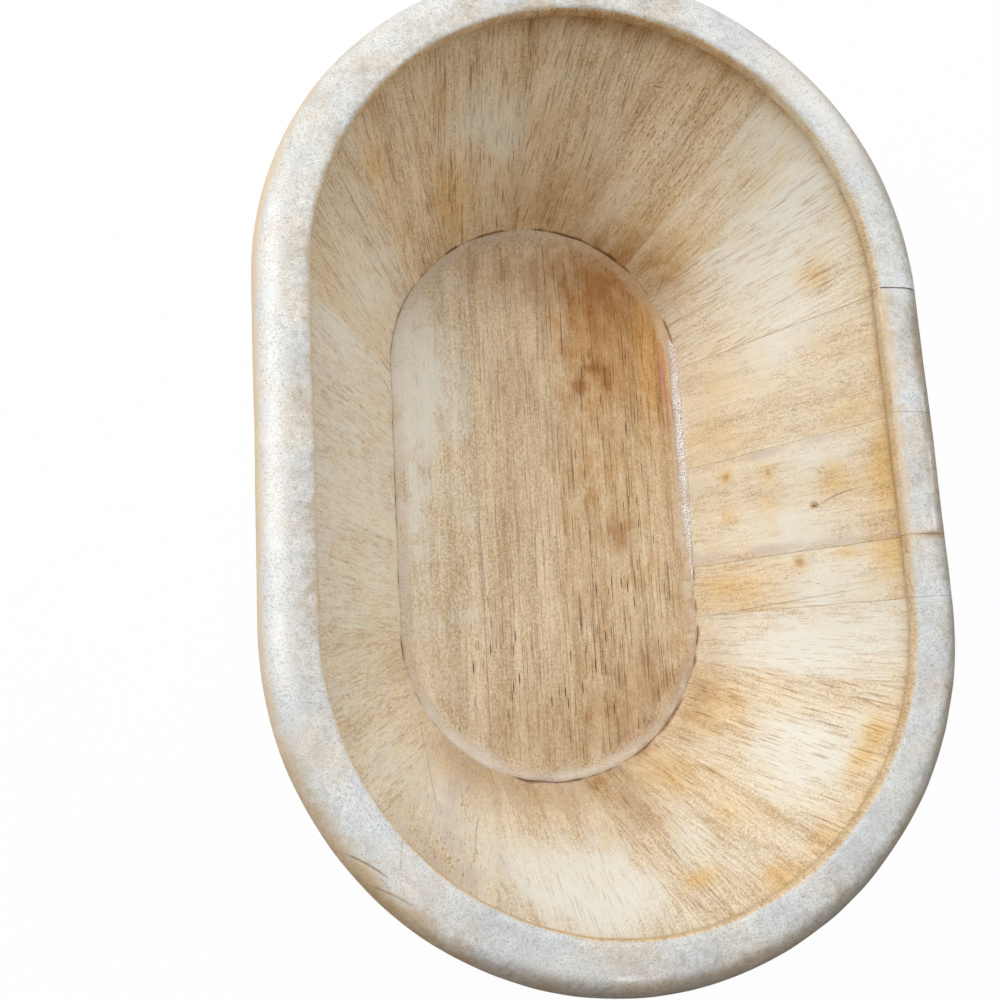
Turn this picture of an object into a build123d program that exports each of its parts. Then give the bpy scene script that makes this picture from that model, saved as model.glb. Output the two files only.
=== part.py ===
from build123d import *
import os
from math import cos, degrees, radians, sin, tan

# Oval dough bowl, built like a shallow tub: staves glued edge to edge round a floor of three boards.
# Millimetres and degrees. The origin is on the underside, at the middle of the oval, with +Z up,
# the long way of the bowl along Y and the near end at -Y.

# The bowl as a whole
height = 142.0              # from the underside to the top of the rim
rim_radius = 140.0          # plan radius of the round ends at the widest part of the rim
wall_lean = 21.4            # how far the wall leans out from upright, in degrees
stave_thickness = 19.0      # thickness of the planed stave boards, square to the wall
glue_line = 0.1             # room left for glue in every joint

# The rim, shaped on the staves' top ends
rim_roll = 11.0             # radius of the rounded outer shoulder
roll_turn = 80.0            # how far the shoulder turns over, in degrees
rim_band = 13.0             # from the rim's top to the lower edge of the upright band under the shoulder
lip_ease = 2.0              # width of the eased inner edge
lip_height = 6.0            # from the rim's top to the lower corner of the inner lip
lip_overhang = 3.0          # how far the lip stands in front of the wall scooped out under it
foot_ease = 2.5             # width of the eased edge round the foot

# Staves of the straight sides. The right-hand ones set how long the sides are.
right_back_stave = 54.5
right_middle_stave = 51.0
right_front_stave = 25.5
left_stave_count = 3

# Staves of the round ends, as the places of the joints between them: degrees to the left (minus) or
# right of the end's middle. The first and last staves meet the straight sides.
near_joints = (-53.0, -27.5, 7.5, 22.5, 40.0, 73.0)
far_joints = (-57.0, -36.0, -8.5, 16.5, 42.0, 58.5)

# The floor: three boards side by side, dished on top with a sloping border left all round
floor_thickness = 18.0      # at the edge, where it meets the staves
dish_depth = 3.0            # how far the dished field lies below that edge
dish_border = 6.0           # width of the slope that runs round the field
edge_land = 1.0             # flat strip left between that slope and the staves
middle_board = 41.0         # width of the middle board
middle_board_shift = -13.5  # place of its centre line across the bowl

# Worked out from the sizes above
lean = radians(wall_lean)
side_length = right_back_stave + right_middle_stave + right_front_stave
half_side = side_length / 2
wall_width = stave_thickness / cos(lean)
roll_center = (rim_radius - rim_roll * sin(radians(roll_turn)), height - rim_roll)


def outer_radius(z):
    """Plan radius of the wall's outer face at a height."""
    return rim_radius - (height - rim_band - z) * tan(lean)


def inner_radius(z):
    """Plan radius of the wall's inner face at a height."""
    return outer_radius(z) - wall_width


def wall_section():
    """Section of the wall from foot to rim: radius along X, height along Z."""
    lip_z = height - lip_height
    scoop_z = lip_z - lip_overhang
    lip_radius = inner_radius(scoop_z) - lip_overhang

    with BuildSketch(Plane.XZ) as section:
        with BuildLine():
            roll = CenterArc(roll_center, rim_roll, 90 - roll_turn, roll_turn)
            Polyline(
                roll @ 1,
                (lip_radius + lip_ease, height),
                (lip_radius, height - lip_ease),
                (lip_radius, lip_z),
                (inner_radius(scoop_z), scoop_z),
                (inner_radius(0), 0),
                (outer_radius(0) - foot_ease, 0),
                (outer_radius(foot_ease), foot_ease),
                (rim_radius, height - rim_band),
                roll @ 0,
            )
        make_face()
    return section.sketch


def floor_section():
    """Half section of the floor: radius along X, height along Z, its edge bevelled to the wall."""
    gap = glue_line / cos(lean)
    field = floor_thickness - dish_depth
    land_radius = inner_radius(floor_thickness) - gap - edge_land

    with BuildSketch(Plane.XZ) as section:
        with BuildLine():
            Polyline(
                (0, field),
                (land_radius - dish_border, field),
                (land_radius, floor_thickness),
                (inner_radius(floor_thickness) - gap, floor_thickness),
                (inner_radius(0) - gap, 0),
                (0, 0),
                close=True,
            )
        make_face()
    return section.sketch


def side_stave(back, width):
    """A flat stave of the right-hand side, from its back edge towards the near end."""
    plank = extrude(wall_section(), width - glue_line)
    return Pos(0, back - glue_line / 2, 0) * plank


def end_stave(center_y, start, sweep):
    """A curved stave of a round end, from one radial joint to the next."""
    glue_angle = degrees(glue_line / rim_radius)
    wedge = revolve(wall_section(), Axis.Z, sweep - glue_angle)
    return Pos(0, center_y, 0) * Rot(0, 0, start + glue_angle / 2) * wedge


def save(solid, node):
    """Write one piece as its own file."""
    solid.label = node
    export_step(solid, os.path.join("parts", node + ".step"))


os.makedirs("parts", exist_ok=True)

# Right-hand side, from the far end to the near end
back = half_side
for place, width in [
    ("back", right_back_stave),
    ("middle", right_middle_stave),
    ("front", right_front_stave),
]:
    save(side_stave(back, width), "right_stave_" + place)
    back -= width

# Left-hand side: equal staves, turned half round from the right-hand form
left_width = side_length / left_stave_count
for count in range(left_stave_count):
    stave = side_stave(half_side - count * left_width, left_width)
    save(Rot(0, 0, 180) * stave, f"left_stave_{count + 1}")

# Round ends, each counted from the left-hand side to the right
near_edges = (-90, *near_joints, 90)
for count, (left, right) in enumerate(zip(near_edges, near_edges[1:])):
    save(end_stave(-half_side, left - 90, right - left), f"near_stave_{count + 1}")
far_edges = (-90, *far_joints, 90)
for count, (left, right) in enumerate(zip(far_edges, far_edges[1:])):
    save(end_stave(half_side, 90 - right, right - left), f"far_stave_{count + 1}")

# Floor: one tapered oval panel, wedged in the leaning wall and parted into its boards
round_end = revolve(floor_section(), Axis.Z, 180)
straight_part = Pos(0, half_side, 0) * extrude(floor_section(), side_length)
panel = Pos(0, half_side, 0) * round_end + Pos(0, -half_side, 0) * Rot(0, 0, 180) * round_end
panel = panel + straight_part + mirror(straight_part, Plane.YZ)
left_joint = middle_board_shift - middle_board / 2
right_joint = middle_board_shift + middle_board / 2
for name, left, right in [
    ("floor_board_left", -rim_radius, left_joint),
    ("floor_board_middle", left_joint, right_joint),
    ("floor_board_right", right_joint, rim_radius),
]:
    strip = Box(right - left - glue_line, side_length + 2 * rim_radius, 2 * height)
    save(panel & Pos((left + right) / 2, 0, 0) * strip, name)
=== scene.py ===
import math

import bmesh
import bpy
from mathutils import Matrix, Vector, noise


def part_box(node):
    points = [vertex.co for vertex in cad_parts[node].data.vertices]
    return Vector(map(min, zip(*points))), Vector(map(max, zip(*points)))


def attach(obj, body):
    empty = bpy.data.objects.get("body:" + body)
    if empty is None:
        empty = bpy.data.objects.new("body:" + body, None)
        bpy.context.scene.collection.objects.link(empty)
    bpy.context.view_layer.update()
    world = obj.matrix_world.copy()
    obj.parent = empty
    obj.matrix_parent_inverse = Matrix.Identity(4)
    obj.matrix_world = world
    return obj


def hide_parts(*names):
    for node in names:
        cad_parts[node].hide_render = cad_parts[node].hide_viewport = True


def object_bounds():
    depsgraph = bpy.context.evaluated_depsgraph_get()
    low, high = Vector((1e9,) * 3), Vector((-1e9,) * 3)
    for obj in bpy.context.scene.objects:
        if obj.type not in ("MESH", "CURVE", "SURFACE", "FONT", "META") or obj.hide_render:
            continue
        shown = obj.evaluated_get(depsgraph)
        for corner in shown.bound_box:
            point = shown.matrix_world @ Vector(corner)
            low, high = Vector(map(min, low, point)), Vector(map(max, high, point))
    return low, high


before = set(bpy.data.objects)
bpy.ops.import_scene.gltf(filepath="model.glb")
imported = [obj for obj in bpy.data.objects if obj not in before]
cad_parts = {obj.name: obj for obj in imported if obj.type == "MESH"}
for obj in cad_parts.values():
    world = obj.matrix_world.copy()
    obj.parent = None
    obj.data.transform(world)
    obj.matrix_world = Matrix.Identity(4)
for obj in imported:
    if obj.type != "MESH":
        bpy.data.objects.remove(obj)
cad_low, cad_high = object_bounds()

# Right-hand staves
# Three flat planks of a pale hardwood, planed to one thickness and glued edge to edge so that the wall leans
# out. Their top ends are shaped into the rim, so the rim's top is bare end grain, limed white.
mm = 0.001
rim_top = cad_high.z
rim_radius = cad_high.x
half_side = cad_high.y - rim_radius
lean = math.radians(21.4)
stave_thickness = 19 * mm
rim_roll = 11 * mm
rim_band = 13 * mm
lip_height = 6 * mm
lip_overhang = 3 * mm
floor_top = 18 * mm
flat_foot = 3 * mm
mesh_step = 1.5 * mm
stave_crease = math.radians(35)
stave_waves = [(24, 0.35 * mm), (90, 0.12 * mm)]
noise.seed_set(5)

roll_x = rim_radius - rim_roll
roll_z = rim_top - rim_roll
lip_z = rim_top - lip_height
scoop_z = lip_z - lip_overhang


def outer_radius(z):
    """Plan radius of the wall's outer face at a height."""
    return rim_radius - (rim_top - rim_band - z) * math.tan(lean)


def inner_radius(z):
    """Plan radius of the wall's inner face at a height."""
    return outer_radius(z) - stave_thickness / math.cos(lean)


lip_radius = inner_radius(scoop_z) - lip_overhang


def only(kind, parts):
    """The vertices, edges or faces among the parts that a mesh operator gives back."""
    return [part for part in parts if isinstance(part, kind)]


def wall_section(bm):
    """The wall's outline as one face: radius along X and height along Z, with its corners eased."""
    roll_start = bm.verts.new((roll_x, 0, rim_top))
    roll = bmesh.ops.spin(bm, geom=[roll_start], cent=(roll_x, 0, roll_z), axis=(0, 1, 0),
                          angle=math.pi / 2, steps=10)
    roll_end = only(bmesh.types.BMVert, roll["geom_last"])[0]
    band = bm.verts.new((rim_radius, 0, rim_top - rim_band))
    foot = bm.verts.new((outer_radius(0), 0, 0))
    heel = bm.verts.new((inner_radius(0), 0, 0))
    scoop = bm.verts.new((inner_radius(scoop_z), 0, scoop_z))
    lip_low = bm.verts.new((lip_radius, 0, lip_z))
    lip_top = bm.verts.new((lip_radius, 0, rim_top))
    outline = [roll_end, band, foot, heel, scoop, lip_low, lip_top, roll_start]
    for one, other in zip(outline, outline[1:]):
        bm.edges.new((one, other))
    bmesh.ops.contextual_create(bm, geom=bm.edges[:])
    for corner, ease, segments in [
        (band, 1.6 * mm, 3),
        (foot, 2.5 * mm, 3),
        (scoop, 2.8 * mm, 4),
        (lip_low, 1.2 * mm, 3),
        (lip_top, 2 * mm, 4),
    ]:
        bmesh.ops.bevel(bm, geom=[corner], offset=ease, segments=segments, profile=0.5,
                        affect="VERTICES", material=-1)
    for edge in bm.edges[:]:
        inside = max(vert.co.x - inner_radius(vert.co.z) for vert in edge.verts) < 1 * mm
        step = mesh_step if inside else 2.5 * mesh_step
        cuts = int(edge.calc_length() / step)
        if cuts:
            bmesh.ops.bisect_edges(bm, edges=[edge], cuts=cuts)


def step_up(low, high, value):
    """Smooth rise from 0 at low to 1 at high."""
    share = min(1, max(0, (value - low) / (high - low)))
    return share * share * (3 - 2 * share)


def smooth(bm, crease):
    """Smooth shading, kept crisp along edges that turn by more than the crease."""
    for face in bm.faces:
        face.smooth = True
    for edge in bm.edges:
        edge.smooth = edge.calc_face_angle(0) < crease


def uneven(co, waves):
    """Small shift of a point, as hand work leaves. A wave is how many go to a metre, and their height."""
    return sum((noise.noise_vector(co * rate) * size for rate, size in waves), Vector((0, 0, 0)))


def close_joints(bm, eases):
    """Eases the edges of a stave's two glued faces, and leaves its surface a little uneven."""
    bmesh.ops.recalc_face_normals(bm, faces=bm.faces[:])
    joints = [face for face in bm.faces if len(face.verts) > 4]
    for joint, ease in zip(joints, eases):
        bmesh.ops.bevel(bm, geom=joint.edges[:], offset=ease, segments=1, profile=0.5,
                        affect="EDGES", material=-1)
    for vert in bm.verts:
        vert.co += uneven(vert.co, stave_waves) * step_up(0, flat_foot, vert.co.z)
    smooth(bm, stave_crease)


def stain_at(spots, place, rise):
    """How strong a kind of stain is: each spot is place, rise, half width, half height and strength."""
    return min(1, sum(strength * math.exp(-((place - at) / wide) ** 2 - ((rise - up) / tall) ** 2)
                      for at, up, wide, tall, strength in spots))


def crack_at(cracks, place, height):
    """Distance in metres from the nearest hairline crack, and how open it is there. Each crack is its middle
    (place and height), tilt from upright in degrees, half length, bow and depth of colour; lengths in mm."""
    found = (1.0, 0.0)
    for at, up, tilt, half, bow, depth in cracks:
        turn = math.radians(tilt)
        side, run = place - at, height - up
        along = run * math.cos(turn) + side * math.sin(turn)
        aside = side * math.cos(turn) - run * math.sin(turn) - bow * (1 - (along / half) ** 2)
        if abs(along) < 1.3 * half and abs(aside) < abs(found[0]) / mm:
            near = step_up(3.2, 1.7, abs(aside))
            tail = step_up(1.3, 0.7, abs(along) / half)
            found = (aside * mm, near * depth * tail)
    return found


def paint(mesh, look):
    """Writes at each point what look says: its place in the board, its stains, its wear with its dirt and
    painted shade, and its cracks.
    """
    layers = ("board", "stain", "wear_and_shade", "crack")
    for layer in layers:
        kind = "FLOAT_COLOR" if layer in ("stain", "wear_and_shade") else "FLOAT_VECTOR"
        mesh.attributes.new(layer, kind, "POINT")
    board, stain, wear_and_shade, crack = (mesh.attributes[layer].data for layer in layers)
    for index, point in enumerate(mesh.vertices):
        where, stains, worn, split = look(point.co)
        board[index].vector = where
        stain[index].color = stains
        wear_and_shade[index].color = worn
        crack[index].vector = (*split, 0)


def stave_look(seat, wall, tone, cut):
    """How one stave looks at a point: its own tone, and what its wall's stains, rim and cracks add, with a
    dark band of dirt and painted shade along the floor's joint and painted shade under the lip. The tone is
    its shares of lime, gold and umber, how far its dark threads show, and how cool its rim is."""
    limed_inside = (rim_top - 1.5 * mm, rim_top - 0.3 * mm)
    limed_outside = (rim_top - 16 * mm, rim_top - 8 * mm)
    inner_face = inner_radius(0) * math.cos(lean) + 2 * mm

    def look(co):
        across, out, radius, place = seat(co)
        z = co.z
        through = out * math.cos(lean) - z * math.sin(lean)
        along = out * math.sin(lean) + z * math.cos(lean)
        rise = (z - floor_top) / (scoop_z - floor_top)
        from_lip = (radius - lip_radius) / (rim_radius - lip_radius)
        inside = radius < roll_x
        low, high = limed_inside if inside else limed_outside
        rim = step_up(low, high, z)

        stains = []
        for kind, own in zip(("white", "gold", "umber"), tone):
            on_wall = own + stain_at(wall[kind], place, rise)
            on_rim = stain_at(wall["rim_" + kind], place, from_lip)
            stains.append(min(1, on_wall * (1 - rim) + on_rim * rim))
        stains.append(stain_at(wall["dots"], place, rise))
        on_lip = (1 - rim) * (inside and z > lip_z - 1 * mm)
        stains[1] = max(stains[1], 0.6 * on_lip)
        stains[2] = max(stains[2], 0.12 * on_lip)

        # The dark band along the floor's joint is partly dirt and partly painted shade of the corner.
        patchy = 0.8 + 1.3 * noise.noise(co * 130)
        dirt_and_shade_at_floor = (through < inner_face) * patchy * math.exp(-abs(z - floor_top) / (wall["seam"] * mm))
        # Painted shade: the wall darkens in the recess under the lip's overhang.
        shade_under_lip = 0.4 * inside * math.exp(-((z - scoop_z) / (2.5 * mm)) ** 2)
        dirt_and_shade = min(1, max(0, dirt_and_shade_at_floor, shade_under_lip))
        haze = stain_at(wall["smear"], place, rise) * (1 - rim) + tone[4] * rim
        run = place if wall["flat"] else math.radians(place) * radius / mm
        if rim > 0.5:
            split = crack_at(wall["rim_cracks"], run, (radius - lip_radius) / mm)
        else:
            split = crack_at(wall["cracks"], run, z / mm)
        where = Vector((across, through, along)) + cut
        return where, stains, (rim, haze, dirt_and_shade, tone[3]), split
    return look


def srgb(red, green, blue):
    """A colour given 0 to 255, in the linear light that shaders use."""
    def linear(value):
        value = value / 255
        return value / 12.92 if value < 0.04045 else ((value + 0.055) / 1.055) ** 2.4
    return (linear(red), linear(green), linear(blue), 1)


def add(tree, kind, inputs=None, **settings):
    """One shader node, its inputs set from plain values or joined to other nodes' outputs."""
    made = tree.nodes.new(kind)
    for key, value in settings.items():
        setattr(made, key, value)
    for key, value in (inputs or {}).items():
        if isinstance(value, bpy.types.NodeSocket):
            tree.links.new(value, made.inputs[key])
        else:
            made.inputs[key].default_value = value
    return made


def grain(tree, place, scale, detail=2.0, rough=0.5):
    """Cloudy noise, stretched along the board by its three scales; mean about one half."""
    mapped = add(tree, "ShaderNodeMapping", {"Vector": place, "Scale": scale}).outputs[0]
    return add(tree, "ShaderNodeTexNoise", {"Vector": mapped, "Scale": 1.0, "Detail": detail,
                                            "Roughness": rough}).outputs[0]


def calc(tree, operation, one, other=0.0, third=0.0):
    """A sum on two or three values or outputs."""
    return add(tree, "ShaderNodeMath", {0: one, 1: other, 2: third}, operation=operation).outputs[0]


def fade(tree, value, low, high):
    """Smooth mask, 0 below low and 1 above high."""
    return add(tree, "ShaderNodeMapRange", {"Value": value, "From Min": low, "From Max": high},
               interpolation_type="SMOOTHSTEP").outputs[0]


def blend(tree, factor, under, over, kind="MIX"):
    """One colour laid over another."""
    mixed = add(tree, "ShaderNodeMix", {0: factor, 6: under, 7: over}, data_type="RGBA", blend_type=kind)
    return mixed.outputs[2]


def ramp(tree, value, stops):
    """Colours spread along a value."""
    made = add(tree, "ShaderNodeValToRGB", {0: value})
    elements = made.color_ramp.elements
    while len(elements) < len(stops):
        elements.new(1.0)
    for element, (position, colour) in zip(elements, stops):
        element.position = position
        element.color = colour
    return made.outputs[0]


def broken(tree, mask, *grains, low=0.3, high=0.7):
    """A painted mask with its edge broken up by the grain: each grain comes with its weight."""
    value = mask
    for cloud, weight in grains:
        value = calc(tree, "MULTIPLY_ADD", calc(tree, "SUBTRACT", cloud, 0.5), weight, value)
    return fade(tree, value, low, high)


def painted_marks(tree):
    """What paint wrote on the mesh, as one output for each kind of mark."""
    board, stain, wear_and_shade, crack = (add(tree, "ShaderNodeAttribute", attribute_name=layer).outputs
                                 for layer in ("board", "stain", "wear_and_shade", "crack"))
    white, gold, umber = add(tree, "ShaderNodeSeparateColor", {0: stain["Color"]}).outputs[:]
    rim, haze, dirt_and_shade = add(tree, "ShaderNodeSeparateColor", {0: wear_and_shade["Color"]}).outputs[:]
    aside, depth, _ = add(tree, "ShaderNodeSeparateXYZ", {0: crack["Vector"]}).outputs[:]
    return {
        "place": board["Vector"],
        "white": white, "gold": gold, "umber": umber, "dots": stain["Alpha"],
        "rim": rim, "haze": haze, "dirt_and_shade": dirt_and_shade, "threads": wear_and_shade["Alpha"],
        "aside": aside, "depth": depth,
    }


def wood_grain(tree, marks, wander, streak_rate):
    """The noises that make up the wood, along fibres that wander a little sideways."""
    place = marks["place"]
    sway = add(tree, "ShaderNodeMapping", {"Vector": place, "Scale": (40, 40, 16)}).outputs[0]
    sway = add(tree, "ShaderNodeTexNoise", {"Vector": sway, "Scale": 1.0, "Detail": 2.0}).outputs["Color"]
    run = add(tree, "ShaderNodeVectorMath", {0: sway, 1: (wander, wander, 0), 2: place},
              operation="MULTIPLY_ADD").outputs[0]
    streaks = grain(tree, run, (650, 650, streak_rate), detail=4.0, rough=0.6)
    streaky = calc(tree, "ADD", marks["threads"], 0.35)
    return {
        "run": run,
        "streaks": calc(tree, "MULTIPLY_ADD", calc(tree, "SUBTRACT", streaks, 0.5), streaky, 0.5),
        "bands": grain(tree, run, (110, 110, 8)),
        "fibre": grain(tree, run, (1500, 1500, 4 * streak_rate), detail=3.0, rough=0.7),
        "strands": grain(tree, run, (1400, 1400, 1.5 * streak_rate), detail=1.0),
        "cloud": grain(tree, place, (115, 115, 75), detail=5.0, rough=0.65),
        "patch": grain(tree, place, (40, 40, 26), detail=4.0, rough=0.6),
        "sand": grain(tree, place, (1300, 1300, 900), detail=3.0, rough=0.8),
    }


def stained_wood(tree, shades, marks, wood, lime_streaks):
    """Colour of the bare wood under its lime, golden and brown stains and dark threads, and its figure. The
    golden and brown marks also carry painted shade: bands under the lip, and the darker far end.
    """
    streaks, cloud, patch, sand = (wood[kind] for kind in ("streaks", "cloud", "patch", "sand"))
    figure = calc(tree, "MULTIPLY_ADD", wood["bands"], 0.18, calc(tree, "MULTIPLY", streaks, 0.22))
    figure = calc(tree, "MULTIPLY_ADD", wood["fibre"], 0.20, figure)
    figure = calc(tree, "MULTIPLY_ADD", sand, 0.40, figure)
    colour = ramp(tree, figure, [(0.43, shades["dark"]), (0.50, shades["mid"]), (0.57, shades["pale"])])
    lime = broken(tree, marks["white"], (streaks, lime_streaks), (cloud, 1.4), (patch, 0.7), (sand, 1.0),
                  low=0.15, high=1.1)
    colour = blend(tree, calc(tree, "MULTIPLY", lime, 0.88), colour, shades["lime"])
    honey = broken(tree, marks["gold"], (cloud, 1.3), (patch, -0.5), (sand, 0.9), low=0.1, high=1.2)
    colour = blend(tree, honey, colour, shades["honey"], "MULTIPLY")
    brown = broken(tree, marks["umber"], (cloud, 0.9), (streaks, 1.0), (sand, 0.4), low=0.1, high=1.2)
    colour = blend(tree, brown, colour, shades["umber"], "MULTIPLY")
    threads = fade(tree, calc(tree, "MULTIPLY_ADD", cloud, 0.3, wood["strands"]), 0.73, 0.86)
    threads = calc(tree, "MULTIPLY", threads, marks["threads"])
    return blend(tree, threads, colour, shades["pore"], "MULTIPLY"), figure


def pore_dashes(tree, marks, wood, scale, share):
    """Mask of the pores: short dashes along the grain, thicker on the ground where dots are painted."""
    mapped = add(tree, "ShaderNodeMapping", {"Vector": wood["run"], "Scale": scale}).outputs[0]
    cells = add(tree, "ShaderNodeTexVoronoi", {"Vector": mapped, "Scale": 1.0})
    pick = add(tree, "ShaderNodeSeparateColor", {0: cells.outputs["Color"]}).outputs[0]
    pick = calc(tree, "MULTIPLY_ADD", marks["dots"], 0.5, pick)
    dashes = fade(tree, cells.outputs["Distance"], 0.40, 0.20)
    return calc(tree, "MULTIPLY", dashes, fade(tree, pick, 1 - share, 1.25 - share))


def chalky_rim(tree, shades, marks):
    """Colour of end grain filled with lime, warm or cool from stave to stave, and a mask of its pores. Brown
    marks grey it, as painted shade toward its rounded outer edge, and white marks lighten it, on the
    right-hand side partly as a painted highlight along that edge.
    """
    spot = add(tree, "ShaderNodeTexCoord").outputs["Object"]
    tint = grain(tree, spot, (42, 42, 42), detail=3.0)
    drift = grain(tree, spot, (75, 75, 75), detail=5.0, rough=0.6)
    mottle = grain(tree, spot, (330, 330, 330), detail=3.0, rough=0.65)
    ends = grain(tree, spot, (1200, 1200, 1200), detail=3.0, rough=0.7)
    tint = calc(tree, "MULTIPLY_ADD", marks["haze"], -0.16, tint)
    chalk = ramp(tree, tint, [(0.30, shades["rim_cool"]), (0.42, shades["rim"]), (0.54, shades["rim_warm"])])
    chalk = blend(tree, fade(tree, ends, 0.58, 0.36), chalk, shades["rim_grit"], "MULTIPLY")
    specks = fade(tree, calc(tree, "MULTIPLY_ADD", drift, 0.4, ends), 0.73, 0.86)
    chalk = blend(tree, specks, chalk, shades["rim_pore"], "MULTIPLY")
    chalk = blend(tree, fade(tree, mottle, 0.46, 0.66), chalk, shades["rim_blot"], "MULTIPLY")
    worn = broken(tree, marks["gold"], (drift, 1.0), (mottle, 0.6), (ends, 0.4), low=0.1, high=1.0)
    chalk = blend(tree, worn, chalk, shades["rim_tan"])
    # Brown marks: grey grit near the lip, and painted shade toward the rounded outer edge.
    shade = broken(tree, marks["umber"], (drift, 0.6), (mottle, 0.6), (ends, 0.4), low=0.0, high=1.0)
    chalk = blend(tree, shade, chalk, shades["rim_shade"], "MULTIPLY")
    # White marks: pale lime, and on the right-hand side also a painted highlight along the outer edge.
    pale = broken(tree, marks["white"], (drift, 0.9), (mottle, 0.6), (ends, 0.8), low=0.2, high=1.0)
    return blend(tree, pale, chalk, shades["rim_pale"]), specks


def limed_wood(name, shades, wander, streak_rate, lime_streaks, pore_scale, pore_share):
    """Pale open-grained wood, limed white and worn: streaks, pores, golden and brown stains, white end grain,
    and dirt and painted shade.
    Its fibres wander sideways by wander, streak_rate is how many streaks follow each other in a metre, and
    lime_streaks says how far the streaks show in the edges of the limed patches."""
    material = bpy.data.materials.new(name)
    material.use_nodes = True
    tree = material.node_tree
    tree.nodes.clear()
    marks = painted_marks(tree)
    wood = wood_grain(tree, marks, wander, streak_rate)
    streaks, fibre, cloud, sand = (wood[kind] for kind in ("streaks", "fibre", "cloud", "sand"))

    colour, figure = stained_wood(tree, shades, marks, wood, lime_streaks)
    pores = pore_dashes(tree, marks, wood, pore_scale, pore_share)
    colour = blend(tree, pores, colour, shades["pore"], "MULTIPLY")
    glue = broken(tree, marks["haze"], (sand, 1.0), (cloud, 2.0), (wood["patch"], 1.5), (streaks, 1.0),
                  low=0.25, high=1.1)
    colour = blend(tree, calc(tree, "MULTIPLY", glue, 0.6), colour, shades["glue"])
    # Dirt and painted shade: darker along the floor's joint and under the lip.
    grime_and_shade = broken(tree, marks["dirt_and_shade"], (sand, 0.9), (cloud, 0.8), low=0.25, high=1.0)
    colour = blend(tree, grime_and_shade, colour, shades["grime_and_shade"], "MULTIPLY")
    chalk, specks = chalky_rim(tree, shades, marks)
    bare = broken(tree, marks["rim"], (cloud, 0.5), (sand, 0.6))
    colour = blend(tree, bare, colour, chalk)
    ragged = calc(tree, "ABSOLUTE", calc(tree, "MULTIPLY_ADD", sand, 0.3 * mm, marks["aside"]))
    line = calc(tree, "MULTIPLY", fade(tree, ragged, 0.40 * mm, 0.15 * mm), marks["depth"])
    colour = blend(tree, line, colour, shades["crack"], "MULTIPLY")

    relief = calc(tree, "MULTIPLY_ADD", streaks, 0.5, fibre)
    relief = calc(tree, "MULTIPLY_ADD", pores, -0.6, relief)
    relief = calc(tree, "MULTIPLY_ADD", line, -1.5, relief)
    relief = calc(tree, "MULTIPLY_ADD", specks, calc(tree, "MULTIPLY", bare, -0.6), relief)
    bump = add(tree, "ShaderNodeBump", {"Height": relief, "Strength": 0.25, "Distance": 0.4 * mm}).outputs[0]
    rough = add(tree, "ShaderNodeMapRange", {"Value": figure, "To Min": 0.85, "To Max": 0.65}).outputs[0]
    rough = calc(tree, "MULTIPLY_ADD", bare, 0.2, rough)
    shader = add(tree, "ShaderNodeBsdfPrincipled", {"Base Color": colour, "Roughness": rough, "Normal": bump,
                                                    "Specular IOR Level": 0.25})
    add(tree, "ShaderNodeOutputMaterial", {"Surface": shader.outputs[0]})
    return material


# Here grime is the colour of both dirt and painted shade.
stave_wood = limed_wood("stave_wood", {
    "dark": srgb(194, 168, 133), "mid": srgb(224, 206, 176), "pale": srgb(242, 231, 208),
    "lime": srgb(237, 238, 231), "honey": srgb(250, 224, 176), "umber": srgb(205, 178, 146),
    "pore": srgb(190, 160, 126), "glue": srgb(204, 190, 184), "grime_and_shade": srgb(165, 132, 102),
    "rim": srgb(227, 226, 222), "rim_cool": srgb(221, 224, 225), "rim_warm": srgb(229, 223, 214),
    "rim_grit": srgb(212, 211, 209), "rim_pore": srgb(196, 194, 191), "rim_pale": srgb(242, 242, 240),
    "rim_tan": srgb(216, 194, 162), "rim_shade": srgb(198, 186, 172), "rim_blot": srgb(245, 243, 240),
    "crack": srgb(120, 90, 64),
}, wander=1.6 * mm, streak_rate=42, lime_streaks=0.9, pore_scale=(1300, 1300, 260), pore_share=0.06)


# How far on in the tree the next board was cut, so that no two boards share their grain.
next_board = Vector((0.37, 0.11, 0.53))


def stand_for(node, bm, look, wood):
    """Makes a mesh the piece that stands for one node, painted and given its wood."""
    mesh = bpy.data.meshes.new(node + "_wood")
    bm.to_mesh(mesh)
    bm.free()
    paint(mesh, look)
    mesh.materials.append(wood)
    piece = bpy.data.objects.new(node + "_wood", mesh)
    bpy.context.scene.collection.objects.link(piece)
    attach(piece, "root")
    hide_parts(node)


def side_stave(node, side, wall, tone, number, eases, filled=0):
    """A flat stave of the right-hand (1) or left-hand (-1) side, over the stretch that its node holds. Each
    end grows by filled where lime has filled the glue line."""
    low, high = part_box(node)
    low.y -= filled
    high.y += filled
    bm = bmesh.new()
    wall_section(bm)
    bmesh.ops.scale(bm, verts=bm.verts[:], vec=(side, 1, 1))
    bmesh.ops.translate(bm, verts=bm.verts[:], vec=(0, low.y, 0))
    steps = math.ceil((high.y - low.y) / mesh_step)
    bmesh.ops.spin(bm, geom=bm.faces[:], cent=(0, 0, 0), axis=(0, 0, 1), angle=0, steps=steps,
                   dvec=(0, (high.y - low.y) / steps, 0))
    close_joints(bm, eases)

    def seat(co):
        return co.y, abs(co.x), abs(co.x), co.y / mm

    look = stave_look(seat, wall, tone, number * next_board)
    stand_for(node, bm, look, stave_wood)
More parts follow.
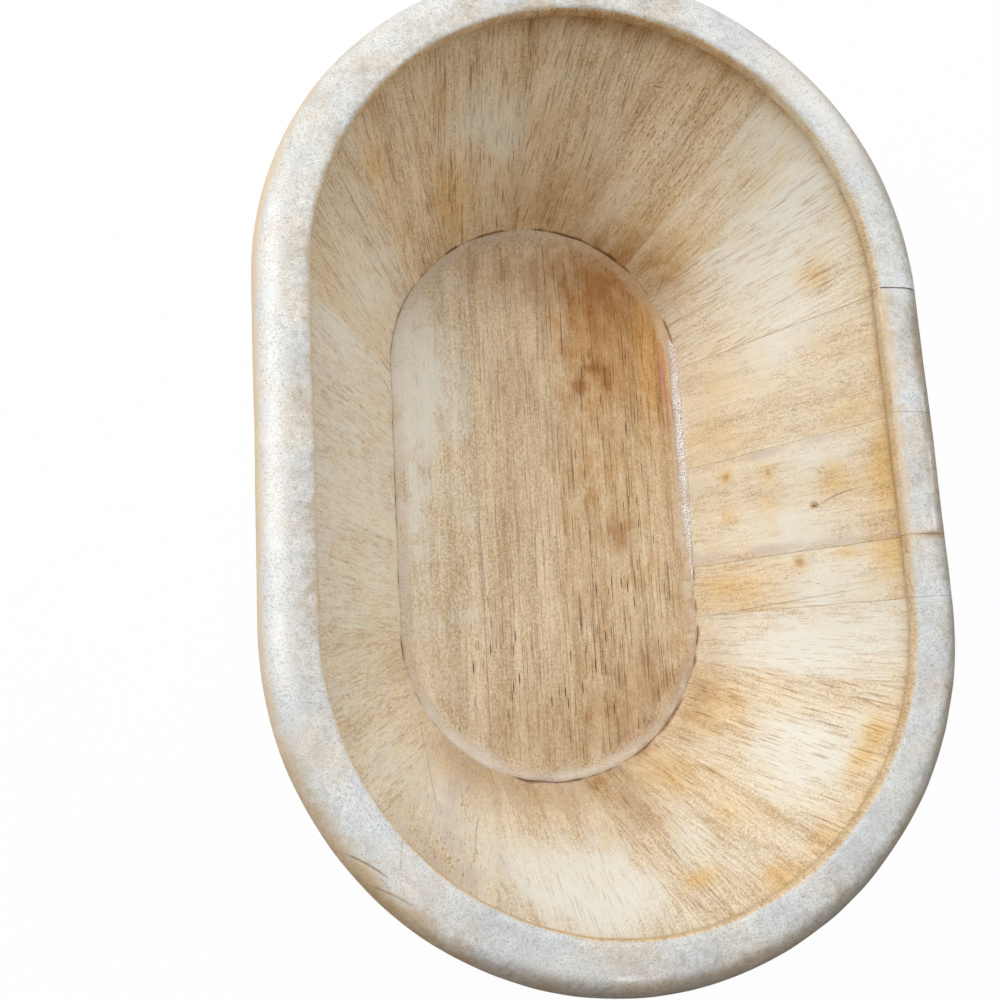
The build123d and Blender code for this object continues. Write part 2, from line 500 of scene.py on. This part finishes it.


# Marks on a wall. A spot is its place, rise, half width, half height and strength. Places are in mm from
# the bowl's middle on a flat side, and in degrees from the middle of a round end. A rise goes from 0 at the
# floor to 1 under the lip, and on the rim from 0 at the lip to 1 at the outer edge. The seam is how far the
# dark band of dirt and painted shade spreads from the floor's joint, in mm.
right_wall = {
    "flat": True, "seam": 1.2,
    "white": [(-58, 0.69, 12, 0.18, 0.7), (-28, 0.51, 9, 0.16, 0.6), (0, 0.72, 12, 0.2, 0.3),
              (60, 0.5, 12, 0.25, 0.5)],
    # The first gold spot, a golden band along the top of the wall, is painted shade under the lip.
    "gold": [(0, 1.0, 90, 0.06, 0.4), (-11, 0.95, 16, 0.07, 0.6), (-9, 0.77, 9, 0.09, 0.5),
             (-17, 0.44, 22, 0.06, 0.3), (2, 0.23, 4, 0.04, 0.6), (-18, 0.23, 5, 0.05, 0.5),
             (49, 0.24, 12, 0.14, 0.35), (20, 0.2, 26, 0.2, 0.25), (17, 0.85, 10, 0.1, 0.4),
             (-52, 0.25, 12, 0.25, 0.4), (-45, 0.93, 12, 0.08, 0.5), (0, 0.45, 3.5, 0.035, 0.5),
             (-45, 0.56, 4, 0.04, 0.6), (-43, 0.78, 3, 0.06, 0.5)],
    "umber": [(-20, 0.655, 1.8, 0.02, 1.4), (0, 0.45, 2.2, 0.016, 0.8), (-45, 0.56, 2.5, 0.03, 0.9),
              (2, 0.23, 2, 0.02, 0.9), (-16, 0.2, 2, 0.02, 0.6), (0, 0.0, 80, 0.05, 0.2)],
    "dots": [(-52, 0.5, 12, 0.5, 0.3)],
    "smear": [(-38, 0.0, 36, 0.022, 0.8), (-36.8, 0.1, 3.0, 0.14, 0.9), (-37, 0.42, 2.8, 0.16, 1.1),
              (-38, 0.75, 2.2, 0.14, 0.8), (-38.3, 0.97, 2.2, 0.08, 1.1), (9.2, 0.12, 2.0, 0.1, 0.6),
              (9.2, 0.4, 2.2, 0.15, 1.0), (9.3, 0.72, 2.0, 0.14, 0.9)],
    "cracks": [(-18.3, 104, 14, 9.5, 0.8, 0.5), (-63, 60, 4, 50, 0, 0.3), (-20, 93.6, 20, 1.7, 0.2, 1.0),
               (-20.4, 94.0, 75, 1.1, 0, 1.0)],
    # These rim_white spots draw a wavy pale line near the outer edge: lime, and also a painted highlight
    # along the rounded edge.
    "rim_white": [(16, 0.66, 6, 0.05, 0.7), (5, 0.62, 5, 0.03, 0.6), (-8, 0.65, 6, 0.025, 0.7),
                  (-20, 0.63, 6, 0.035, 0.75), (-34, 0.58, 7, 0.06, 0.8)],
    "rim_gold": [(-20, 0.0, 60, 0.16, 0.6), (-40, 0.6, 2, 0.6, 0.7), (45, 0.0, 35, 0.25, 0.6)],
    # The first rim_umber spot, at the outer edge, is painted shade of the rounded outer edge.
    "rim_umber": [(0, 0.85, 200, 0.3, 0.85), (-40, 0.7, 1.5, 0.5, 0.9), (45, 0.5, 22, 1.0, 0.25)],
    "rim_cracks": [(65.2, 8, 0, 9, 0.2, 0.9)],
}
side_stave("right_stave_back", 1, right_wall, (0.52, 0.33, 0.0, 0.15, 0.45), 1, (0.08 * mm, 0.3 * mm))
side_stave("right_stave_middle", 1, right_wall, (0.55, 0.3, 0.0, 0.15, 0.5), 2, (0.15 * mm, 0.08 * mm))
side_stave("right_stave_front", 1, right_wall, (0.5, 0.32, 0.0, 0.3, 0.7), 3, (0.2 * mm, 0.15 * mm))

# Left-hand staves
# Three of the same flat planks on the other side, glued the same way. They kept an even tan with fine streaks
# and little lime, and lime has filled their glue lines.
left_wall = {
    "flat": True, "seam": 1.2,
    "white": [(60, 0.6, 9, 0.2, 0.4)],
    "gold": [(-55, 0.3, 12, 0.3, 0.2)],
    "umber": [],
    "dots": [],
    "smear": [],
    "cracks": [(54, 26, 20, 5, 0, 0.8), (64, 27, 10, 7, 0, 0.8)],
    "rim_white": [(0, 0.68, 300, 0.25, 0.65)],
    "rim_gold": [(0, 1.02, 300, 0.15, 1.0), (25, 0.35, 12, 0.1, 0.3), (0, 0.0, 300, 0.09, 0.7)],
    "rim_umber": [(0, 0.1, 300, 0.25, 0.4)],
    "rim_cracks": [],
}
left_tones = [(0.7, 0.15, 0.0, 0.4, 0.5), (0.72, 0.1, 0.0, 0.35, 0.45), (0.7, 0.15, 0.0, 0.4, 0.45)]
for number, tone in enumerate(left_tones):
    side_stave(f"left_stave_{number + 1}", -1, left_wall, tone, 4 + number, (0.03 * mm, 0.03 * mm),
               filled=0.05 * mm)

# Staves of the near end
# Seven staves of the same wood, cut to the curve of the round end, so that the grain still runs up each one.
# Their joints are radial, and they are glued like the flat ones.
near_joints = (-90, -53, -27.5, 7.5, 22.5, 40, 73, 90)


def end_stave(node, end, left, right, wall, tone, number, eases):
    """A curved stave of the near (-1) or far (1) end, between two joints in degrees from the end's middle."""
    center = Vector((0, end * half_side, 0))
    start = math.radians(90 - right if end > 0 else left - 90)
    sweep = math.radians(right - left)
    middle = start + sweep / 2
    bm = bmesh.new()
    wall_section(bm)
    bmesh.ops.rotate(bm, verts=bm.verts[:], cent=(0, 0, 0), matrix=Matrix.Rotation(start, 3, "Z"))
    bmesh.ops.translate(bm, verts=bm.verts[:], vec=center)
    bmesh.ops.spin(bm, geom=bm.faces[:], cent=center, axis=(0, 0, 1), angle=sweep,
                   steps=math.ceil(sweep * rim_radius / mesh_step))
    close_joints(bm, eases)

    def seat(co):
        arm = co - center
        radius = math.hypot(arm.x, arm.y)
        turn = math.atan2(arm.y, arm.x) - middle
        turn = math.atan2(math.sin(turn), math.cos(turn))
        place = (left + right) / 2 - end * math.degrees(turn)
        return radius * math.sin(turn), radius * math.cos(turn), radius, place

    look = stave_look(seat, wall, tone, number * next_board)
    stand_for(node, bm, look, stave_wood)


near_wall = {
    "flat": False, "seam": 2.0,
    "white": [(-38, 0.55, 12, 0.25, 0.3), (-8, 0.72, 15, 0.22, 0.9), (22, 0.6, 5, 0.2, 0.3),
              (54, 0.67, 8, 0.22, 0.8), (79, 0.5, 6, 0.2, 0.8), (84, 0.8, 8, 0.2, 0.4)],
    # The first gold spot, a golden band along the top of the wall, is painted shade under the lip.
    "gold": [(30, 1.0, 70, 0.05, 0.4), (16, 0.77, 4, 0.06, 0.9), (32, 0.58, 4, 0.07, 0.5),
             (28, 0.92, 4, 0.05, 0.6), (40, 0.93, 5, 0.05, 0.5), (62, 0.92, 5, 0.05, 0.7),
             (55, 0.9, 4, 0.04, 0.5), (32, 0.23, 10, 0.22, 0.5), (57, 0.2, 13, 0.22, 0.45),
             (0, 0.15, 14, 0.14, 0.4)],
    "umber": [(15, 0.35, 8, 0.22, 0.4), (12, 0.05, 4, 0.05, 0.5), (30, 0.02, 8, 0.04, 0.4),
              (-40, 0.9, 8, 0.1, 0.3), (57, 0.1, 12, 0.12, 0.5), (-10, 0.05, 50, 0.25, 0.55),
              (-26, 0.3, 1.5, 0.35, 0.25), (80, 0.08, 14, 0.16, 0.35)],
    "dots": [(-40, 0.85, 9, 0.15, 0.9), (16, 0.77, 5, 0.1, 0.8), (-36, 0.4, 8, 0.3, 0.35)],
    "smear": [(-40, 0.6, 13, 0.5, 0.6), (-10, 0.0, 60, 0.022, 0.9)],
    "cracks": [(-82, 60, 6, 26, 1.5, 0.45), (-58, 85, -14, 16, -1, 0.4), (-61, 62, -4, 14, 0, 0.3)],
    "rim_white": [(-90, 0.68, 18, 0.25, 0.65), (-15, 0.5, 14, 0.25, 0.4), (-52, 0.25, 16, 0.25, 0.4),
                  (-6, 0.58, 3, 0.045, 0.5), (-1, 0.6, 2.5, 0.03, 0.5), (52, 0.3, 18, 0.3, 0.3)],
    "rim_gold": [(-80, 1.0, 20, 0.18, 0.9), (-48, 0.9, 15, 0.33, 0.9), (-25, 1.0, 20, 0.2, 0.5),
                 (4, 0.6, 8, 0.4, 0.25)],
    # The rim_umber spots at the outer edge (0.85 and more) are painted shade of the rounded outer edge.
    "rim_umber": [(-40, 0.95, 36, 0.22, 0.55), (-90, 0.1, 18, 0.25, 0.4), (10, 0.85, 40, 0.25, 0.85),
                  (75, 0.85, 40, 0.25, 0.85), (15, 0.6, 40, 0.5, 0.25)],
    "rim_cracks": [(-119.5, 15.2, 105, 10, 0.6, 0.5), (-107, 16.2, 104, 9, 0.5, 0.4),
                   (-104.5, 4.5, 4, 4.5, 0, 0.35)],
}
near_tones = [(0.55, 0.05, 0.18, 0.4, 0.55), (0.5, 0.0, 0.32, 0.3, 0.6), (0.45, 0.05, 0.1, 0.3, 0.45),
              (0.35, 0.15, 0.1, 0.6, 0.4), (0.4, 0.2, 0.05, 0.5, 0.85), (0.45, 0.2, 0.05, 0.6, 0.9),
              (0.55, 0.15, 0.0, 0.35, 0.9)]
for number, tone in enumerate(near_tones):
    end_stave(f"near_stave_{number + 1}", -1, near_joints[number], near_joints[number + 1], near_wall, tone,
              7 + number, (0.06 * mm, 0.06 * mm))

# Staves of the far end
# Seven more curved staves, made and glued like those of the near end. They carry brown streaks, dark specks
# and a few limed patches, and their tones are painted darker and more golden as painted shade of this end.
far_joints = (-90, -57, -36, -8.5, 16.5, 42, 58.5, 90)
far_wall = {
    "flat": False, "seam": 1.2,
    "white": [(77, 0.55, 14, 0.22, 0.6), (55, 0.95, 16, 0.28, 0.7), (-14, 0.46, 8, 0.2, 0.5),
              (0, 0.71, 7, 0.14, 0.45), (-24, 0.62, 6, 0.16, 0.45), (14, 0.5, 7, 0.16, 0.4),
              (-70, 0.3, 14, 0.25, 0.3), (26, 0.3, 6, 0.14, 0.35)],
    # The first gold spot, a golden band along the top of the wall, is painted shade under the lip.
    "gold": [(80, 1.0, 40, 0.06, 0.4), (80, 0.77, 4, 0.07, 0.5), (88, 0.24, 6, 0.1, 0.4),
             (-31, 0.28, 9, 0.2, 0.35), (-55, 0.73, 5, 0.07, 0.4), (53, 0.25, 7, 0.16, 0.3)],
    # The last umber spot, a brown band along the top of the wall, is painted shade under the lip.
    "umber": [(55, 0.12, 18, 0.2, 0.55), (30, 0.03, 16, 0.06, 0.5), (3, 0.2, 14, 0.2, 0.35),
              (-31, 0.28, 9, 0.2, 0.12), (45, 0.1, 20, 0.2, 0.25), (5, 1.0, 60, 0.06, 0.5)],
    "dots": [(32, 0.65, 12, 0.35, 1.0), (8, 0.4, 10, 0.3, 0.4)],
    "smear": [],
    "cracks": [(80, 24, 0, 8, 0, 0.5), (41, 110, 80, 2.5, 0, 0.5)],
    "rim_white": [(50, 0.5, 22, 0.5, 0.5), (-90, 0.68, 24, 0.25, 0.65)],
    "rim_gold": [(-75, 1.02, 32, 0.17, 1.0), (-15, 0.1, 30, 0.2, 0.3), (-75, 0.0, 30, 0.09, 0.6)],
    # The first rim_umber spot, at the outer edge, is painted shade of the rounded outer edge.
    "rim_umber": [(65, 0.85, 35, 0.35, 0.7), (-10, 0.15, 40, 0.3, 0.4), (-75, 0.0, 30, 0.2, 0.4)],
    "rim_cracks": [],
}
# Their high gold shares, with some umber, paint this end darker and warmer: painted shade.
far_tones = [(0.5, 0.3, 0.05, 0.5, 0.5), (0.35, 0.4, 0.1, 0.65, 0.45), (0.3, 0.4, 0.15, 0.7, 0.45),
             (0.2, 0.4, 0.25, 0.8, 0.45), (0.25, 0.45, 0.15, 0.5, 0.75), (0.4, 0.35, 0.0, 0.4, 0.85),
             (0.55, 0.25, 0.0, 0.55, 0.8)]
for number, tone in enumerate(far_tones):
    end_stave(f"far_stave_{number + 1}", 1, far_joints[number], far_joints[number + 1], far_wall, tone,
              14 + number, (0.06 * mm, 0.06 * mm))

# Floor boards
# Three boards of a darker wood, laid side by side and cut to a tapered oval, which wedges into the leaning
# wall. The top is dished, with a raised border left all round.
floor_field = 15 * mm
floor_border = 7 * mm
floor_land = 1 * mm
joint_gap = 0.12 * mm
land_drop = 0.3 * mm
ragged_edge = 1.2 * mm
underside = 5 * mm
turn_steps = 150
floor_crease = math.radians(40)
floor_waves = [(30, 0.2 * mm)]
edge_chips = [(140, 0.45 * mm)]


def floor_panel():
    """The whole oval panel as a closed skin, before it is parted into boards."""
    bm = bmesh.new()
    edge_top = inner_radius(floor_top) - joint_gap
    edge_foot = inner_radius(0) - joint_gap
    corners = [bm.verts.new(co) for co in [
        (0, half_side, floor_field),
        (edge_top - floor_land - floor_border, half_side, floor_field),
        (edge_top - floor_land, half_side, floor_top),
        (edge_top, half_side, floor_top - land_drop),
        (edge_foot, half_side, 0),
        (0, half_side, 0),
    ]]
    for one, other in zip(corners, corners[1:]):
        bm.edges.new((one, other))
    for edge in bm.edges[:]:
        cuts = int(edge.calc_length() / mesh_step)
        if cuts and edge.verts[0].co.z + edge.verts[1].co.z > floor_field:
            bmesh.ops.bisect_edges(bm, edges=[edge], cuts=cuts)
    profile = bm.verts[:] + bm.edges[:]
    straight = math.ceil(2 * half_side / mesh_step)
    bmesh.ops.spin(bm, geom=profile, cent=(0, 0, 0), axis=(0, 0, 1), angle=0, steps=straight,
                   dvec=(0, -2 * half_side / straight, 0))
    bmesh.ops.spin(bm, geom=profile, cent=(0, half_side, 0), axis=(0, 0, 1), angle=math.pi, steps=turn_steps)
    half = bm.verts[:] + bm.edges[:] + bm.faces[:]
    turned = bmesh.ops.duplicate(bm, geom=half)["geom"]
    bmesh.ops.rotate(bm, verts=only(bmesh.types.BMVert, turned), cent=(0, 0, 0),
                     matrix=Matrix.Rotation(math.pi, 3, "Z"))
    bmesh.ops.remove_doubles(bm, verts=bm.verts[:], dist=0.01 * mm)
    bmesh.ops.recalc_face_normals(bm, faces=bm.faces[:])
    return bm


floor_stains = {
    "white": [(-62, 62, 14, 34, 0.65), (-48, 45, 24, 60, 0.15), (-66, 0, 8, 60, 0.4)],
    "gold": [(45, 95, 32, 50, 0.6), (66, 68, 9, 30, 0.7), (38, 10, 26, 50, 0.2)],
    "umber": [(23, 58, 4, 6, 0.9), (30, 67, 8, 3, 0.5), (38, 60, 3, 9, 0.5), (40, -22, 8, 16, 0.5),
              (40, 105, 32, 26, 0.6), (0, 118, 50, 16, 0.35), (24, 0, 14, 60, 0.2), (0, 55, 34, 40, 0.25),
              (10, -120, 90, 30, 0.25), (50, -100, 30, 40, 0.3)],
    "dots": [(40, -58, 8, 7, 0.7), (38, 0, 24, 90, 0.45), (-35, -85, 20, 34, 0.45),
             (5, -100, 30, 26, 0.35)],
    "smear": [(69, 60, 2.5, 20, 1.0), (72, 15, 2.5, 50, 0.55)],
}
floor_cracks = [(23, -30, 0, 22, 0, 0.5), (-34.2, -50, 0, 50, 0.3, 0.3), (6, -20, 0, 40, -0.3, 0.3),
                (23, 57, 8, 4, 0.8, 0.6), (25, 62, 40, 3, 0, 0.5)]
# Here grime is the colour of both dirt and painted shade.
floor_wood = limed_wood("floor_wood", {
    "dark": srgb(173, 147, 114), "mid": srgb(200, 179, 148), "pale": srgb(223, 207, 181),
    "lime": srgb(222, 221, 212), "honey": srgb(242, 210, 158), "umber": srgb(195, 164, 130),
    "pore": srgb(116, 86, 62), "glue": srgb(192, 136, 116), "grime_and_shade": srgb(142, 120, 106),
    "rim": srgb(212, 199, 181), "rim_cool": srgb(210, 200, 188), "rim_warm": srgb(216, 200, 178),
    "rim_grit": srgb(220, 211, 200), "rim_pore": srgb(196, 184, 172), "rim_pale": srgb(220, 214, 204),
    "rim_tan": srgb(206, 178, 144), "rim_shade": srgb(205, 188, 168), "rim_blot": srgb(236, 229, 220),
    "crack": srgb(130, 98, 72),
}, wander=0.6 * mm, streak_rate=20, lime_streaks=0.2, pore_scale=(950, 950, 90), pore_share=0.08)


def from_wall(co):
    """How far a point lies in from the line where the floor's top meets the wall."""
    return inner_radius(floor_top) - math.hypot(co.x, max(0, abs(co.y) - half_side))


def floor_look(tone, number):
    """How one floor board looks at a point: its own tone, and what the floor's stains and cracks add."""
    slope = floor_border + floor_land

    def look(co):
        x, y, z = co
        stains = [min(1, own + stain_at(floor_stains[kind], x / mm, y / mm))
                  for kind, own in zip(("white", "gold", "umber"), tone)]
        stains.append(stain_at(floor_stains["dots"], x / mm, y / mm))
        edge = from_wall(co)
        border = 0.7 * step_up(slope + 2 * mm, 2 * mm, edge) + 0.35 * noise.noise(co * 60)
        border = max(0, border) * step_up(slope + 3 * mm, floor_border, edge)
        # The dark band along the wall's joint is dirt, and at the near end it widens into a painted shadow
        # line.
        near_end = step_up(-80 * mm, -125 * mm, y)
        seam = (0.6 + 2.0 * near_end) * mm
        dirt_and_shade = (0.9 + 1.2 * noise.noise(co * 130)) * math.exp(-max(0, edge) / seam)
        stains[0] = min(1, stains[0] + (0.75 - stains[0]) * border * near_end)
        haze = stain_at(floor_stains["smear"], x / mm, y / mm)
        split = crack_at(floor_cracks, x / mm, y / mm)
        if z < underside:
            stains = [0.3 * share for share in stains]
            split = (1.0, 0.0)
        where = Vector((x, z, y)) + number * next_board
        return where, stains, (border, haze, min(1, max(0, dirt_and_shade)), tone[3]), split
    return look


def floor_board(node, tone, number):
    """One board: the panel cut off at the board's two joints, a little uneven, its outer edge ragged."""
    low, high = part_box(node)
    bm = floor_panel()
    for edge_x, away in ((low.x, -1), (high.x, 1)):
        parts = bm.verts[:] + bm.edges[:] + bm.faces[:]
        cut = bmesh.ops.bisect_plane(bm, geom=parts, plane_co=(edge_x, 0, 0), plane_no=(away, 0, 0),
                                     dist=0.001 * mm, clear_outer=True)
        loop = only(bmesh.types.BMEdge, cut["geom_cut"])
        if loop:
            bmesh.ops.contextual_create(bm, geom=loop)
    bmesh.ops.recalc_face_normals(bm, faces=bm.faces[:])
    for vert in bm.verts:
        vert.co += uneven(vert.co, floor_waves) * step_up(0, flat_foot, vert.co.z)
        if vert.co.z > floor_field and from_wall(vert.co) < ragged_edge:
            vert.co += uneven(vert.co, edge_chips)
    smooth(bm, floor_crease)
    stand_for(node, bm, floor_look(tone, number), floor_wood)


floor_board("floor_board_left", (0.35, 0.05, 0.08, 0.15), 31)
floor_board("floor_board_middle", (0.2, 0.1, 0.17, 0.35), 32)
floor_board("floor_board_right", (0.12, 0.32, 0.12, 0.6), 33)

# Filler
# A bead of gritty silver-white filler, pressed by hand into the joint between the floor and the right-hand
# wall. It tapers off along the wall to the near end, and ends bluntly where the far end starts to turn.
bead_radius = 2.9 * mm
bead_near = -48 * mm
bead_turn = math.radians(13)
bead_x = inner_radius(floor_top) - 0.6 * mm
bead_z = floor_top - 0.5 * mm
bead_far = half_side + bead_x * math.sin(bead_turn)
bead_steps = 160
bead_waves = [(60, 0.4 * mm), (420, 0.3 * mm)]
thinnest = 0.25
bm = bmesh.new()
bmesh.ops.create_circle(bm, cap_ends=False, radius=bead_radius, segments=12)
bmesh.ops.rotate(bm, verts=bm.verts[:], cent=(0, 0, 0), matrix=Matrix.Rotation(math.pi / 2, 3, "X"))
bmesh.ops.translate(bm, verts=bm.verts[:], vec=(bead_x, bead_near, bead_z))
bead = bmesh.ops.spin(bm, geom=bm.verts[:] + bm.edges[:], cent=(0, 0, 0), axis=(0, 0, 1), angle=0,
                      steps=bead_steps, dvec=(0, (half_side - bead_near) / bead_steps, 0))
bmesh.ops.spin(bm, geom=bead["geom_last"], cent=(0, half_side, 0), axis=(0, 0, 1), angle=bead_turn, steps=24)
bmesh.ops.remove_doubles(bm, verts=bm.verts[:], dist=0.001 * mm)
bmesh.ops.holes_fill(bm, edges=bm.edges[:], sides=0)
bmesh.ops.recalc_face_normals(bm, faces=bm.faces[:])
for vert in bm.verts:
    hub = Vector((0, min(vert.co.y, half_side), vert.co.z))
    core = hub + (vert.co - hub).normalized() * bead_x
    core.z = bead_z
    swell = step_up(bead_near - 1 * mm, bead_near + 40 * mm, vert.co.y)
    swell *= step_up(bead_far + 1 * mm, bead_far - 8 * mm, vert.co.y)
    vert.co = core + (vert.co - core) * (thinnest + (1 - thinnest) * swell)
    vert.co += uneven(vert.co, bead_waves)
smooth(bm, math.pi)
mesh = bpy.data.meshes.new("joint_filler")
bm.to_mesh(mesh)
bm.free()

filler_grit = bpy.data.materials.new("filler_grit")
filler_grit.use_nodes = True
tree = filler_grit.node_tree
tree.nodes.clear()
place = add(tree, "ShaderNodeTexCoord").outputs["Object"]
grit = grain(tree, place, (1900, 1900, 1900), detail=2.0, rough=0.8)
colour = ramp(tree, grit, [
    (0.40, srgb(124, 108, 98)),
    (0.49, srgb(210, 201, 192)),
    (0.57, srgb(254, 252, 248)),
])
smudge = fade(tree, grain(tree, place, (110, 110, 60), detail=3.0), 0.45, 0.62)
colour = blend(tree, calc(tree, "MULTIPLY", smudge, 0.45), colour, srgb(196, 170, 146))
bump = add(tree, "ShaderNodeBump", {"Height": grit, "Strength": 0.5, "Distance": 0.4 * mm}).outputs[0]
shader = add(tree, "ShaderNodeBsdfPrincipled", {"Base Color": colour, "Roughness": 0.6, "Normal": bump})
add(tree, "ShaderNodeOutputMaterial", {"Surface": shader.outputs[0]})
mesh.materials.append(filler_grit)
piece = bpy.data.objects.new("joint_filler", mesh)
bpy.context.scene.collection.objects.link(piece)
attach(piece, "root")

# Studio
# A white sweep under soft light from beyond the far end, with a weaker lamp on each side, seen from above the
# near left side.
paper_half = 4
paper_drop = 0.2 * mm
stage_mesh = bpy.data.meshes.new("studio_floor")
bm = bmesh.new()
bmesh.ops.create_grid(bm, x_segments=1, y_segments=1, size=paper_half)
bmesh.ops.translate(bm, verts=bm.verts[:], vec=(0, 0, -paper_drop))
bm.to_mesh(stage_mesh)
bm.free()
studio_floor = bpy.data.objects.new("studio_floor", stage_mesh)
bpy.context.scene.collection.objects.link(studio_floor)
paper = bpy.data.materials.new("white_paper")
paper.use_nodes = True
tree = paper.node_tree
tree.nodes.clear()
rays = add(tree, "ShaderNodeLightPath")
seen = calc(tree, "MAXIMUM", rays.outputs["Is Camera Ray"], rays.outputs["Is Glossy Ray"])
seen = calc(tree, "MAXIMUM", seen, rays.outputs["Is Transmission Ray"])
matte = add(tree, "ShaderNodeBsdfDiffuse", {"Color": srgb(235, 235, 235)})
glow = add(tree, "ShaderNodeEmission", {"Color": srgb(255, 255, 255), "Strength": 1.0})
share = calc(tree, "MULTIPLY", seen, 0.96)
lit = add(tree, "ShaderNodeMixShader", {0: share, 1: matte.outputs[0], 2: glow.outputs[0]})
add(tree, "ShaderNodeOutputMaterial", {"Surface": lit.outputs[0]})
stage_mesh.materials.append(paper)

sky = bpy.data.worlds.new("studio_sky")
sky.use_nodes = True
backdrop = sky.node_tree.nodes["Background"]
backdrop.inputs["Color"].default_value = srgb(255, 255, 255)
backdrop.inputs["Strength"].default_value = 0.13
bpy.context.scene.world = sky

lamps_aim = Vector((0, 0, 0.08))
for name, place, size, power in [
    ("window", (-0.32, 0.68, 1.35), 1.1, 18.0),
    ("left_fill", (-1.2, 0, 1.1), 0.9, 9.2),
    ("right_fill", (1.2, 0, 1.1), 0.9, 7.3),
]:
    lamp = bpy.data.lights.new(name, "AREA")
    lamp.shape = "SQUARE"
    lamp.size = size
    lamp.energy = power
    softbox = bpy.data.objects.new(name, lamp)
    softbox.location = place
    softbox.rotation_euler = (lamps_aim - softbox.location).to_track_quat("-Z", "Y").to_euler()
    bpy.context.scene.collection.objects.link(softbox)

# The camera: where it stands, and the directions across its picture and into it.
eye = Vector((-129.52, -80.05, 502.89)) * mm
right = Vector((0.97736, -0.05367, 0.20468))
forward = Vector((0.21063, 0.15404, -0.96535))
up = right.cross(forward)
lens = bpy.data.cameras.new("camera")
lens.lens = 36.05
lens.sensor_width = 36
camera = bpy.data.objects.new("camera", lens)
camera.matrix_world = Matrix((right, up, -forward)).transposed().to_4x4()
camera.location = eye
bpy.context.scene.collection.objects.link(camera)
bpy.context.scene.camera = camera
bpy.context.scene.view_settings.view_transform = "Standard"
